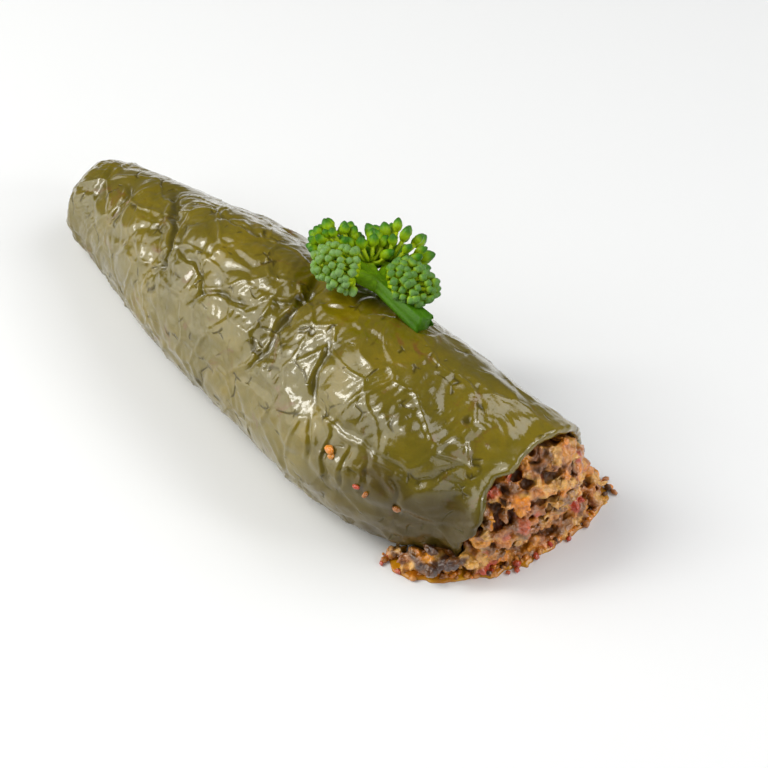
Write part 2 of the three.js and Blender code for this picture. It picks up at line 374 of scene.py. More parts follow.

# %% [markdown]
# ## Folds in the skin
#
# In the pan the flesh under the skin shrinks, and the skin doesn't. It has to go somewhere, so it lifts
# into thin raised folds that meet in a net, with sunken panes between them, and a few long creases run
# deeper. The net is made from the borders between cells of noise. The creases are listed one by one: each
# point is a share of the length and an angle round it in degrees, with 0 at the far side and 90 on top.

# %% The long creases
CREASES = [
    # points, then in mm the depth of the groove, the height of the fold beside it, and the width
    ([(0.23, 74), (0.28, 97), (0.32, 112), (0.345, 126), (0.35, 138), (0.34, 152)], 1.5, 0.35, 1.5),
    ([(0.28, 86), (0.33, 78), (0.41, 86), (0.456, 80), (0.49, 73)], 0.6, 0.25, 1.0),
    ([(0.36, 122), (0.41, 125), (0.436, 129), (0.465, 135), (0.45, 150)], 0.7, 0.45, 1.0),
    ([(0.465, 135), (0.504, 130), (0.547, 126), (0.566, 117)], 0.8, 0.4, 1.0),
    ([(0.596, 78), (0.608, 97), (0.611, 110), (0.614, 121), (0.616, 131)], 1.2, 0.5, 1.3),
    ([(0.618, 84), (0.607, 99), (0.598, 109), (0.566, 117)], 0.6, 0.4, 0.9),
    ([(0.616, 131), (0.622, 141), (0.606, 154)], 0.8, 0.4, 1.0),
    ([(0.704, 112), (0.712, 118), (0.721, 127), (0.726, 135), (0.743, 144)], 0.9, 0.4, 1.0),
    ([(0.743, 144), (0.782, 143), (0.822, 145), (0.858, 145), (0.903, 148), (0.936, 152)], 0.5, 0.5, 1.2),
    ([(0.93, 152), (0.955, 145), (0.97, 130)], 0.7, 0.5, 1.0),
    ([(0.755, 151), (0.775, 163), (0.785, 175)], 0.5, 0.3, 0.8),
    ([(0.8, 149), (0.812, 163), (0.825, 177)], 0.7, 0.4, 0.9),
    ([(0.838, 151), (0.843, 165), (0.85, 179)], 0.7, 0.4, 0.8),
    ([(0.872, 152), (0.88, 164), (0.878, 174)], 0.6, 0.4, 0.8),
    ([(0.905, 153), (0.925, 163), (0.93, 176)], 0.6, 0.4, 0.9),
    ([(0.15, 96), (0.17, 112), (0.175, 130), (0.165, 148)], 0.7, 0.3, 1.2),
    ([(0.08, 88), (0.1, 110), (0.1, 135)], 0.5, 0.3, 1.2),
    ([(0.25, 30), (0.3, 45), (0.38, 38), (0.5, 52)], 0.6, 0.35, 1.1),
    ([(0.56, 20), (0.62, 44), (0.72, 30), (0.8, 47)], 0.6, 0.35, 1.1),
    ([(0.3, -5), (0.42, 16), (0.53, 2), (0.6, 22)], 0.5, 0.3, 1.1),
]
PEPPER_MM = (mouth_x - low.x) / MM


def surface_places(points):
    """Where each point lies: how far along in mm, at what angle round, and how far out in mm."""
    y, z = middle_line(points[:, 0] * MM)
    across, up = points[:, 1] - y / MM, points[:, 2] - z / MM
    turn = np.arctan2(up, across)
    turn = np.where(turn < -math.pi / 2, turn + 2 * math.pi, turn)
    return points[:, 0] - low.x / MM, turn, np.hypot(up, across)


def crease_relief(points):
    """A groove along each crease, with a fold on one side of it and a wide, shallow dip round it."""
    along, turn, radius = surface_places(points)
    wander = [1.6 * noise_at(points, 7, seed) + 0.5 * noise_at(points, 2.6, seed + 2) for seed in (31, 32)]
    place = np.array([along + wander[0], radius * turn + wander[1]])
    uneven = 0.72 + 0.42 * noise_at(points, 7, 35)
    relief = np.zeros(len(points))
    for line, depth, fold, widest in CREASES:
        width = widest * uneven
        nearest, beside, progress = np.inf, 0, 0
        ends = [np.array([0 * radius + at * PEPPER_MM, radius * math.radians(angle)]) for at, angle in line]
        for i, (a, b) in enumerate(zip(ends, ends[1:])):
            run = b - a
            share = np.clip(((place - a) * run).sum(0) / (run**2).sum(0), 0, 1)
            off = place - a - share * run
            distance = np.hypot(*off)
            side = np.sign(run[0] * off[1] - run[1] * off[0])
            closer = distance < nearest
            nearest = np.where(closer, distance, nearest)
            beside = np.where(closer, side * distance, beside)
            progress = np.where(closer, (i + share) / (len(line) - 1), progress)
        fade = 0.25 + 0.75 * smooth_step(progress, 0, 0.2) * smooth_step(1 - progress, 0, 0.2)
        relief -= depth * fade * bell(nearest, width)
        relief += fold * fade * bell(beside - 1.7 * width, 0.55 * width)
        relief -= 0.35 * depth * bell(nearest, 4 * width)
    return relief


# %% The net of folds
def net_relief(points):
    """Wide panes with thin folds along their borders, and small panes in patches."""
    bent = warped(points, 2.6, 9)
    stretched = bent * np.array([0.8, 1.15, 1.0])
    wide = cell_edge(stretched, 12, 1)
    narrow = cell_edge(warped(points, 1.2, 4, 5), 5.2, 2)
    crowded = smooth_step(noise_at(points, 26, 7), -0.25, 0.35)
    relief = 0.55 * smooth_step(wide, 0, 4.5) - 0.35
    relief += 0.42 * bell(cell_edge(bent, 15, 9), 0.75)
    relief += (0.25 + 0.75 * crowded) * (0.16 * smooth_step(narrow, 0, 1.6) - 0.1)
    return relief


# %% Ripples and the swollen flank
RIPPLES = ((0.35, 2.3, 14), (1.15, 2.0, 15), (-0.5, 2.8, 16))  # direction, spacing in mm, seed


def ripple_relief(points):
    """Fine parallel ripples, in patches, each patch in its own direction."""
    along, turn, radius = surface_places(points)
    across = radius * turn
    bend = 2.2 * noise_at(points, 10, 12) + 0.7 * noise_at(points, 3, 13)
    relief = np.zeros(len(points))
    for direction, spacing, seed in RIPPLES:
        phase = math.cos(direction) * along + math.sin(direction) * across + bend
        wave = np.abs(np.sin(math.pi * phase / spacing)) ** 0.7
        patch = smooth_step(noise_at(points, 17, seed), 0.08, 0.4)
        relief += 0.17 * patch * (wave - 0.5)
    # A row of short ripples stands across the crest, just behind the rim.
    share = along / PEPPER_MM + 0.02 * noise_at(points, 9, 17)
    degrees = np.degrees(turn) + 7 * noise_at(points, 6, 18)
    row = band(share, 0.76, 0.82, 0.93, 0.98) * band(degrees, 96, 106, 122, 134)
    wave = np.abs(np.sin(math.pi * (along + 0.25 * across + bend) / 2.7)) ** 0.8
    return relief + 0.36 * row * (wave - 0.5)


def swell_relief(points):
    """The near flank swells towards the mouth, then turns in to the rim."""
    along, turn, _ = surface_places(points)
    share = along / PEPPER_MM + 0.013 * noise_at(points, 7, 51)
    degrees = np.degrees(turn) + 5 * noise_at(points, 8, 52)
    return 2.3 * band(share, 0.74, 0.93, 0.935, 0.99) * band(degrees, 112, 130, 160, 182)


# %% The mirrored mince beside the mouth, and the blunt tip
def mirrored_mince_at(points):
    """Where the skin beside the mouth mirrors the dark mince, from 0 to 1: most of all at the near foot of
    the mouth. This reflection is painted on as a darker colour.
    """
    along, turn, _ = surface_places(points)
    spread = 0.05 * noise_at(points, 8, 61) + 0.02 * noise_at(points, 2.5, 62)
    round_it = smooth_step(np.degrees(turn) + 160 * spread, 138, 166)
    round_it *= 1 - smooth_step(np.degrees(turn), 215, 235)
    return smooth_step(along / PEPPER_MM + spread, 0.74, 0.95) * round_it


def shoulder_relief(points):
    """The blossom end is blunt, so a shoulder stands out round it, on the side that isn't lain on."""
    along, turn, _ = surface_places(points)
    return 1.5 * band(along, 1, 5, 8, 20) * band(np.degrees(turn), 60, 95, 185, 215)


# %% Lift the skin into its folds
def how_free(points, normals):
    """1 where the skin can fold, 0 where it lies on the floor or inside the mouth, half at the rim."""
    centre = np.array(mouth_centre) / MM
    outward = (normals[:, 1:] * (points[:, 1:] - centre[1:])).sum(1) > 0
    inside = (points[:, 0] > centre[0] - 16) & ~outward
    free = smooth_step(points[:, 2], 0.5, 7) * np.where(inside, 0, 1)
    return free * (1 - 0.5 * smooth_step(points[:, 0], centre[0] - 7, centre[0] + 2))


def fold_skin(bm):
    mesh = mesh_from(bm, "pepper_skin")
    points, normals = vectors_of(mesh, "co") / MM, vectors_of(mesh, "normal")
    along, turn, _ = surface_places(points)
    mirrored_mince = mirrored_mince_at(points)
    relief = crease_relief(points) + net_relief(points) + ripple_relief(points) + swell_relief(points)
    relief += 0.5 * noise_at(points, 16, 21)
    # The skin beside the mouth that mirrors the mince is crumpled, and the far side is calmer than the near
    # one.
    relief += mirrored_mince * (0.5 * noise_at(points, 4.5, 63) - 0.35 * np.abs(noise_at(points, 2.4, 64)))
    relief *= 0.65 + 0.35 * smooth_step(np.degrees(turn), 58, 86)
    relief += shoulder_relief(points)
    relief *= how_free(points, normals)
    points = points + normals * relief[:, None]
    # The blossom end is pressed in.
    points[:, 0] += 2.4 * (1 - smooth_step(along, 0, 12))
    move_points(mesh, points)
    give_points(mesh, "fold_height", relief)
    give_points(mesh, "mirrored_mince", mirrored_mince)
    # foot is 1 at the bottom of the skin and 0 from 21 mm up. It sets a painted reflection of the dark mince
    # there, and thinner oil.
    give_points(mesh, "foot", 1 - smooth_step(points[:, 2], 2, 21))
    mesh.update()
    print("folds from %.2f to %.2f mm" % (relief.min(), relief.max()))
    return mesh


skin_mesh = fold_skin(skin)
folded = bmesh.new()
folded.from_mesh(skin_mesh)
skin_tree = BVHTree.FromBMesh(folded)
folded.free()

# %% [markdown]
# ## Finishes
#
# A small set of tools builds each material from nodes. Patterns are fixed to the piece by Object
# coordinates, which are in metres, so a noise of scale 1 / size has bumps about that size. Each tool gives
# back a socket, for the next tool to read.


# %% Node helpers
class Finish:
    """A new material, with short ways to add and join nodes."""

    def __init__(self, name):
        self.material = bpy.data.materials.new(name)
        self.material.use_nodes = True
        self.tree = self.material.node_tree
        self.shader = self.tree.nodes["Principled BSDF"]
        self.place = self.node("TexCoord", "Object")

    def set(self, **values):
        for name, value in values.items():
            self.shader.inputs[name.replace("_", " ")].default_value = value

    def join(self, source, target):
        self.tree.links.new(source, self.shader.inputs[target])

    def node(self, kind, output, inputs=(), **settings):
        """Adds a node. Each of its inputs gets a value or a socket, and one of its outputs comes back."""
        node = self.tree.nodes.new("ShaderNode" + kind)
        for name, value in settings.items():
            setattr(node, name, value)
        for name, value in dict(inputs).items():
            if isinstance(value, bpy.types.NodeSocket):
                self.tree.links.new(value, node.inputs[name])
            else:
                node.inputs[name].default_value = value
        return node.outputs[output]

    def noise(self, size_mm, detail=3, distortion=0.0, output="Fac"):
        inputs = {"Vector": self.place, "Scale": 1 / (size_mm * MM), "Detail": detail}
        inputs.update({"Roughness": 0.55, "Distortion": distortion})
        return self.node("TexNoise", output, inputs)

    def bent_place(self, size_mm, reach_mm):
        """The place, pushed about by noise, so that the borders of cells come out bent."""
        push = self.noise(size_mm, detail=0, output="Color")
        inputs = {0: push, 1: [reach_mm * MM] * 3, 2: self.place}
        return self.node("VectorMath", "Vector", inputs, operation="MULTIPLY_ADD")

    def border(self, size_mm, place):
        """How far it is to the nearest border between cells, as a share of their size."""
        inputs = {"Vector": place, "Scale": 1 / (size_mm * MM)}
        return self.node("TexVoronoi", "Distance", inputs, feature="DISTANCE_TO_EDGE")

    def attribute(self, name, output="Fac"):
        return self.node("Attribute", output, attribute_name=name)

    def ramp(self, source, *stops):
        """The colour, or the grey, that belongs to the source among the stops."""
        picked = self.node("ValToRGB", "Color", {"Fac": source})
        elements = picked.node.color_ramp.elements
        while len(elements) < len(stops):
            elements.new(0.5)
        for element, (position, colour) in zip(elements, stops):
            element.position = position
            element.color = (*colour, 1) if isinstance(colour, tuple) else (colour, colour, colour, 1)
        return picked

    def span(self, source, from_low, from_high, to_low=0.0, to_high=1.0):
        """The source, stretched so that from_low becomes to_low and from_high becomes to_high."""
        inputs = {"Value": source, "From Min": from_low, "From Max": from_high}
        inputs.update({"To Min": to_low, "To Max": to_high})
        return self.node("MapRange", "Result", inputs)

    def mix(self, share, a, b, blend="MIX"):
        inputs = {"Factor": share}
        for name, value in (("A", a), ("B", b)):
            inputs[name] = (*value, 1) if isinstance(value, tuple) else value
        return self.node("Mix", "Result", inputs, data_type="RGBA", blend_type=blend)

    def times(self, a, b):
        return self.mix(1.0, a, b, "MULTIPLY")

    def add(self, a, b, share):
        """a, and a share of b."""
        return self.node("Math", "Value", {0: b, 1: share, 2: a}, operation="MULTIPLY_ADD")

    def bump(self, height, distance_mm, strength):
        inputs = {"Height": height, "Distance": distance_mm * MM, "Strength": strength}
        normal = self.node("Bump", "Normal", inputs)
        self.join(normal, "Normal")
        self.join(normal, "Coat Normal")


# %% [markdown]
# ## The skin's finish
#
# Cooking turns bright green skin to olive. It is uneven: browner where it touched the pan. Painted shade
# darkens the folds and the hairline creases, and a painted reflection of the dark mince darkens the foot and
# the skin beside the mouth. The oil on it is a clear coat over the duller skin, with less of it on the foot
# and beside the mouth, and hardly any in the hairline creases.

# %% Colours of the skin
OLIVES = ((0.3, (0.086, 0.065, 0.001)), (0.5, (0.145, 0.107, 0.001)), (0.7, (0.205, 0.145, 0.002)))
GREENER = (0.118, 0.096, 0.002)
BROWNED = (0.150, 0.062, 0.008)
# The last four are painted: shade in the folds, a reflection of the dark mince at the foot and beside the
# mouth, and shade in the hairline creases.
PAINTED_FOLD_SHADE = (0.062, 0.048, 0.001)
PAINTED_FOOT_REFLECTION = (0.070, 0.052, 0.001)
PAINTED_MINCE_REFLECTION = (0.055, 0.034, 0.005)
PAINTED_HAIRLINE_SHADE = (0.060, 0.044, 0.002)


# %% Oiled olive skin
def hairlines(finish):
    """Hairline creases: parts of a net that is too fine for the mesh."""
    line = finish.ramp(finish.border(7.5, finish.bent_place(6, 5)), (0.01, 1.0), (0.065, 0.0))
    patch = finish.ramp(finish.noise(5, detail=1), (0.56, 0.0), (0.66, 1.0))
    return finish.times(line, patch)


def oiled_skin():
    finish = Finish("oiled_olive_skin")
    finish.set(IOR=1.45, Specular_IOR_Level=0.3, Coat_Roughness=0.06, Coat_IOR=1.52)
    finish.set(Subsurface_Weight=0.1, Subsurface_Radius=(0.9, 0.6, 0.1), Subsurface_Scale=0.002)
    mottle = finish.ramp(finish.noise(3.2, detail=5), (0.35, 0.0), (0.65, 0.5))
    brown = finish.ramp(finish.noise(9, detail=4, distortion=1.2), (0.62, 0.0), (0.72, 0.75))
    # Painted shade: the deeper a fold, the darker its colour.
    painted_hollow_shade = finish.span(finish.attribute("fold_height"), -1.3, -0.4, 0.75, 0.0)
    mirrored_mince, foot = finish.attribute("mirrored_mince"), finish.attribute("foot")
    hairline = hairlines(finish)
    # Each layer of colour covers a share of the ones before it. The first two are the skin's own; the last
    # four are painted shade and painted reflection.
    colour = finish.ramp(finish.noise(24, detail=4, distortion=0.4), *OLIVES)
    layers = (
        (mottle, GREENER),
        (brown, BROWNED),
        # Painted shade in the folds.
        (painted_hollow_shade, PAINTED_FOLD_SHADE),
        # A painted reflection of the dark mince at the foot.
        (finish.span(foot, 0, 1, 0, 0.5), PAINTED_FOOT_REFLECTION),
        # A painted reflection of the dark mince beside the mouth.
        (finish.span(mirrored_mince, 0, 1, 0, 0.8), PAINTED_MINCE_REFLECTION),
        # Painted shade in the hairline creases.
        (hairline, PAINTED_HAIRLINE_SHADE),
    )
    for share, shade in layers:
        colour = finish.mix(share, colour, shade)
    finish.join(colour, "Base Color")
    fine = finish.add(finish.noise(1.4, distortion=0.8), finish.noise(0.45, detail=2), 0.25)
    finish.bump(finish.add(fine, hairline, -2.6), 0.12, 0.5)
    oil = finish.times(finish.span(mirrored_mince, 0, 1, 1.0, 0.3), finish.span(foot, 0, 1, 1.0, 0.35))
    finish.join(finish.times(oil, finish.span(hairline, 0, 1, 1.0, 0.2)), "Coat Weight")
    finish.join(finish.span(mirrored_mince, 0, 1, 0.3, 0.42), "Roughness")
    return finish.material


finish_piece(skin_mesh, "pepper_skin", oiled_skin(), "pepper_skin", "pepper_wall")

# %% [markdown]
# ## The mince
#
# Cooked mince is lumps of meat, 2 to 6 mm across, with a few grains of rice, stuck to each other with dark
# gaps between. So soft lumps are strewn over the part of the CAD filling that shows, on a core a little
# smaller than it, and a voxel remesh melts them together. Large lumps keep apart, holes are sunk between
# them, and the mince stands off the wall, so that a gap runs round under the rim. Each point takes its
# colour from the nearest lumps. Shade is painted on, darker the deeper a point lies under the CAD surface,
# and in the holes, the seams and the gap under the rim.

# %% Where the mince shows
random.seed(7)
UNDER_WALL = 0.8 * MM  # mince closer to the wall than this lies against it, out of sight
STUFFED_DEPTH = 9 * MM  # how far inside the mouth lumps are still strewn
CORE_DEPTH = 14 * MM  # how far inside the mouth the core ends
CORE_SHRINK = 2.3 * MM

filling = cad_copy("filling")
bmesh.ops.triangulate(filling, faces=filling.faces)
filling_tree = BVHTree.FromBMesh(filling)


def shows(face):
    place = face.calc_center_median()
    free = wall_tree.find_nearest(place)[3] > UNDER_WALL or place.x > mouth_x - STUFFED_DEPTH
    return free and face.normal.z > -0.7


shown = [f for f in filling.faces if shows(f)]
area_so_far = np.cumsum([f.calc_area() for f in shown])
print("the mince shows on", round(area_so_far[-1] / MM**2), "square mm")


def random_place():
    """A random point on the mince that shows, and the way out of it."""
    face = shown[np.searchsorted(area_so_far, random.random() * area_so_far[-1])]
    a, b = sorted((random.random(), random.random()))
    first, second, third = (v.co for v in face.verts)
    return first * a + second * (b - a) + third * (1 - b), face.normal.copy()


# %% Lumps
MEAT = (0.370, 0.145, 0.024)
PALE_MEAT = (0.600, 0.285, 0.055)
ORANGE = (0.700, 0.270, 0.018)
BEIGE = (0.680, 0.430, 0.130)
RED = (0.460, 0.050, 0.020)
PINK = (0.500, 0.120, 0.055)
DARK = (0.085, 0.036, 0.014)
PURPLE = (0.060, 0.026, 0.020)
MAUVE = (0.330, 0.150, 0.085)
UMBER = (0.190, 0.085, 0.020)
GOLD = (0.780, 0.360, 0.022)
# Each colour, and its share of the lumps.
MIXTURE = (
    (MEAT, 24), (PALE_MEAT, 18), (ORANGE, 16), (GOLD, 9), (MAUVE, 13), (UMBER, 12),
    (BEIGE, 6), (RED, 3), (DARK, 4),
)
# How many lumps, their radii in mm, and how long they are for their width. The last are grains of rice.
LUMPS = ((900, 1.6, 2.9, 1.4), (300, 0.9, 1.5, 1.5), (80, 0.7, 0.9, 3.2))
LARGE = 1.6 * MM  # lumps from this radius up keep apart, which leaves the gaps
SPACING = 0.8  # how far apart two large ones are, as a share of their radii together
SUNK = 0.42  # how far a lump's middle lies under the surface, as a share of its radius
# Clusters of lumps that catch the eye: place in the frame and radius in mm, and colour.
CLUSTER = 5
SINGLE_LUMPS = [
    ((94.0, -4.5, 19.5), 2.6, PINK),
    ((92.5, -8.0, 16.5), 2.2, PINK),
    ((79.0, -21.0, 6.5), 4.2, PURPLE),
    ((84.5, -18.0, 6.0), 3.6, PURPLE),
    ((88.0, -14.0, 22.0), 2.6, DARK),
    ((87.0, 4.5, 35.0), 2.8, ORANGE),
    ((88.8, -1.0, 32.0), 2.6, ORANGE),
    ((89.0, 13.0, 34.5), 2.6, ORANGE),
    ((93.5, 1.5, 28.5), 2.6, ORANGE),
    ((92.8, -4.0, 26.5), 2.2, ORANGE),
    ((92.5, 20.5, 8.0), 1.6, RED),
    ((88.0, -10.0, 29.5), 1.7, RED),
    ((89.5, -11.5, 1.5), 2.0, RED),
    ((87.0, -14.5, 8.5), 2.8, BEIGE),
    ((89.5, -11.0, 4.5), 2.6, BEIGE),
]


def add_lump(bm, place, radius, length, detail=2, colour=None):
    """A lump with its centre at a place: a ball, stretched, dented and turned at random."""
    turn = Matrix.Rotation(random.uniform(0, 6.28), 3, "Z")
    turn @= Matrix.Rotation(random.uniform(0, 6.28), 3, "X")
    flat = random.uniform(0.7, 1.0)
    lump = bmesh.new()
    tint = lump.verts.layers.float_color.new("tint") if colour else None
    for v in bmesh.ops.create_icosphere(lump, subdivisions=detail, radius=radius)["verts"]:
        dent = 1 + 0.25 * noise.noise(v.co * (1.1 / radius) + place * 700)
        v.co = turn @ Vector((v.co.x * length, v.co.y, v.co.z * flat)) * dent + place
        if colour:
            v[tint] = (*colour, 1)
    join_in(bm, lump)


def strew_lumps(bm):
    """Adds all the lumps. Their centres and colours come back, to colour the mince by."""
    centres, colours, large = [], [], []
    palette = [colour for colour, share in MIXTURE for _ in range(share)]
    for count, smallest, largest, length in LUMPS:
        for _ in range(count):
            place, out = random_place()
            radius = random.uniform(smallest, largest) * MM
            if radius >= LARGE:
                if any((place - other).length < SPACING * (radius + wide) for other, wide in large):
                    continue
                large.append((place, radius))
            centre = place - out * SUNK * radius
            add_lump(bm, centre, radius, length)
            centres.append(centre)
            colours.append(BEIGE if length > 2 else random.choice(palette))
    for place, radius, colour in SINGLE_LUMPS:
        for _ in range(CLUSTER):
            spread = Vector([random.uniform(-0.8, 0.8) * radius for _ in range(3)])
            centre = (Vector(place) + spread) * MM
            add_lump(bm, centre, 0.62 * radius * MM, 1.4)
            centres.append(centre)
            colours.append(colour)
    return centres, colours


def mince_core():
    """The CAD filling near the mouth, shrunk, so that the lumps stand out of it."""
    core = filling.copy()
    geometry = core.verts[:] + core.edges[:] + core.faces[:]
    cut = Vector((mouth_x - CORE_DEPTH, 0, 0))
    bmesh.ops.bisect_plane(core, geom=geometry, plane_co=cut, plane_no=(1, 0, 0), clear_inner=True)
    close_up(core)
    core.normal_update()
    for v in core.verts:
        v.co -= v.normal * CORE_SHRINK
    return core


# %% Melt them together
VOXEL = 0.44 * MM
BLEND = 0.2 * MM  # how softly the colour of one lump passes into the next
# Deep holes between the lumps: place in the frame and radius, in mm.
HOLES = [
    ((88.5, 9.5, 39.5), 2.6),
    ((90.5, 3.5, 35.2), 1.7),
    ((91.5, -2.0, 31.8), 1.9),
    ((94.3, 4.3, 32.0), 1.6),
    ((96.5, 5.0, 24.8), 1.4),
    ((95.0, 14.0, 30.0), 1.8),
    ((91.0, -10.5, 21.0), 1.3),
    ((92.0, -7.5, 22.5), 1.2),
]
SMALL_HOLES = 20


def melted(bm):
    """One closed mesh round everything in the bmesh."""
    rough = add_object("rough", mesh_from(bm, "rough"))
    melt = rough.modifiers.new("melt", "REMESH")
    melt.mode = "VOXEL"
    melt.voxel_size = VOXEL
    view = bpy.context.evaluated_depsgraph_get()
    result = bpy.data.meshes.new_from_object(rough.evaluated_get(view))
    bpy.data.objects.remove(rough)
    return result


def carved(points, normals):
    """The points with seams, holes and the gap under the rim sunk in, and how much painted shade these get.
    """
    holes = [(Vector(place), radius) for place, radius in HOLES]
    for _ in range(SMALL_HOLES):
        place, _ = random_place()
        holes.append((place / MM, random.uniform(0.6, 1.3)))
    sunk = 0.16 * noise_at(points, 1.0, 41) + 0.35 * noise_at(points, 2.6, 42) - 0.15
    seams = bell(cell_edge(warped(points, 0.7, 2.5, 44), 2.9, 43), 0.35)
    to_wall = np.array([skin_tree.find_nearest(Vector(p) * MM)[3] for p in points]) / MM
    gap = bell(to_wall, 1.3)
    sunk -= 0.4 * seams + 1.2 * gap
    ragged = 1 + 0.5 * noise_at(points, 1.6, 45)
    in_hole = np.zeros(len(points))
    for place, radius in holes:
        near = bell(np.linalg.norm(points - np.array(place), axis=1) * ragged, radius)
        in_hole = np.maximum(in_hole, near)
        sunk -= min(1.5 * radius, 2.4) * near
    return points + normals * sunk[:, None], 2.5 * in_hole + 0.5 * seams + 1.2 * gap


def lump_tints(points, centres, colours):
    """Each point's colour: that of the nearest lump, with a little of the next two."""
    tree = kdtree.KDTree(len(centres))
    for i, centre in enumerate(centres):
        tree.insert(centre, i)
    tree.balance()
    tints = []
    for point in points * MM:
        found = tree.find_n(Vector(point), 3)
        shares = [math.exp(-((distance - found[0][2]) / BLEND)) for _, _, distance in found]
        near = [Vector(colours[i]) * share for (_, i, _), share in zip(found, shares)]
        tints += [*(sum(near, Vector()) / sum(shares)), 1]
    return tints


def depth_at(point):
    """How far a point lies under the surface of the CAD filling, in mm."""
    nearest, out = filling_tree.find_nearest(point)[:2]
    return (nearest - point).dot(out) / MM


def make_mince():
    bm = mince_core()
    centres, colours = strew_lumps(bm)
    mesh = melted(bm)
    points, painted_gap_shade = carved(vectors_of(mesh, "co") / MM, vectors_of(mesh, "normal"))
    move_points(mesh, points)
    give_points(mesh, "tint", lump_tints(points, centres, colours), "FLOAT_COLOR")
    # depth holds the depth in mm, with the painted shade of holes, seams and the gap under the rim added on.
    give_points(mesh, "depth", painted_gap_shade + [depth_at(Vector(point)) for point in points * MM])
    mesh.update()
    return mesh


mince_mesh = make_mince()
print("the mince has", len(mince_mesh.vertices), "points")

# %% [markdown]
# ## Crumbs and oil at the foot of the mince
#
# Crumbs have rolled off the heap, and the orange oil that cooks out of the meat stands round its foot as a
# thin film with a rounded edge. Both follow the outline of the CAD filling on the floor, which is found by
# casting rays at it just above the floor. A few more crumbs stick to the oily near flank.

# %% Outline of the heap
HEAP_MIDDLE = Vector((mouth_x - 6.5 * MM, 5 * MM, 0))
HEAP_FROM, HEAP_TO = math.radians(-112), math.radians(74)  # 0 is straight out of the mouth


def heap_place(turn, reach, height):
    return HEAP_MIDDLE + Vector((math.cos(turn) * reach, math.sin(turn) * reach, height))


def heap_edge(turn):
    """How far the heap reaches from its middle, along the floor."""
    inward = HEAP_MIDDLE - heap_place(turn, 1, 0)
    hit = filling_tree.ray_cast(heap_place(turn, 80 * MM, 1 * MM), inward)[0]
    return (hit - HEAP_MIDDLE).xy.length if hit else 20 * MM


# %% Loose crumbs
CRUMBS = 150
# Crumbs stuck to the skin: share of the length, angle round the pepper, radius in mm, colour.
STUCK_CRUMBS = (
    (0.815, 158, 1.25, ORANGE),
    (0.822, 160.5, 0.8, PALE_MEAT),
    (0.875, 167, 0.8, RED),
    (0.89, 169, 0.9, MEAT),
    (0.93, 172, 1.0, MEAT),
)


def make_crumbs():
    bm = bmesh.new()
    for _ in range(CRUMBS):
        turn = random.uniform(HEAP_FROM, HEAP_TO)
        radius = random.uniform(0.45, 1.15) * MM
        beyond = random.uniform(-1.0, 1.0 + 2.6 * random.random() ** 2) * MM
        place = heap_place(turn, heap_edge(turn) + beyond, 0.8 * radius)
        colour = random.choice((ORANGE, ORANGE, PALE_MEAT, MEAT, RED, DARK))
        add_lump(bm, place, radius, 1.3, 1, colour)
    for share, angle, radius, colour in STUCK_CRUMBS:
        out = Vector((0, math.cos(math.radians(angle)), math.sin(math.radians(angle))))
        start = on_middle_line(low.x + share * (mouth_x - low.x))
        hit = skin_tree.ray_cast(start + out * OUTSIDE, -out)[0]
        add_lump(bm, hit + out * 0.4 * radius * MM, radius * MM, 1.3, 2, colour)
    for v in bm.verts:
        v.co.z = max(v.co.z, 0)
    return bm


# %% Film of oil
FILM_HEIGHT = 0.7 * MM
FILM_STEPS, FILM_PROFILE = 220, 12


def make_film():
    """A strip along the heap's edge: its profile goes from under the heap, out, round, and back below."""
    bm = bmesh.new()
    bmesh.ops.create_grid(bm, x_segments=FILM_STEPS, y_segments=FILM_PROFILE, size=0.5)
    for v in bm.verts:
        along, across = v.co.x + 0.5, v.co.y + 0.5
        turn = HEAP_FROM + along * (HEAP_TO - HEAP_FROM)
        ends = smooth_step(min(along, 1 - along), 0, 0.09)
        wave = noise.noise(Vector((4.1 * turn, 3.3, 0))) + 0.5 * noise.noise(Vector((11 * turn, 7.1, 0)))
        width = (2.3 + 1.7 * wave) * MM * ends
        inner, outer = heap_edge(turn) - 5 * MM, heap_edge(turn) + width
        lap = 2 * math.pi * across
        reach = (inner + outer) / 2 - (outer - inner) / 2 * math.cos(lap)
        height = FILM_HEIGHT * ends * max(math.sin(lap), 0) ** 0.5 if across < 0.5 else 0
        v.co = heap_place(turn, reach, height)
    weld(bm)
    close_up(bm)
    face_outwards(bm)
    return bm


# %% [markdown]
# ## The broccoli
#
# A floret is a stalk that forks into branches, each with a head of buds on thin yellow-green stems. Two of
# the heads are young: tight, with small buds under a grey bloom. The others have begun to open, and their
# longer buds stand apart. The sizes are those of the CAD floret, worked from the fork of its stalk.

# %% Stems
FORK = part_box("broccoli_floret")[0] + Vector((23.5, 12.1, 7.4)) * MM
FLORET_TILT = math.radians(-16)
FLORET_PLACE = Matrix.Translation(FORK) @ Matrix.Rotation(FLORET_TILT, 4, "X") @ Matrix.Scale(MM, 4)


def curve_point(points, share):
    """A point on the smooth curve through three points."""
    a, b, c = points
    back = 1 - share
    return a * back * (1 - 2 * share) + b * 4 * share * back + c * share * (2 * share - 1)


def new_part():
    """A small bmesh whose points know how far up a bud they lie, and how much bloom they carry."""
    part = bmesh.new()
    return part, part.verts.layers.float.new("bud_tip"), part.verts.layers.float.new("frost")


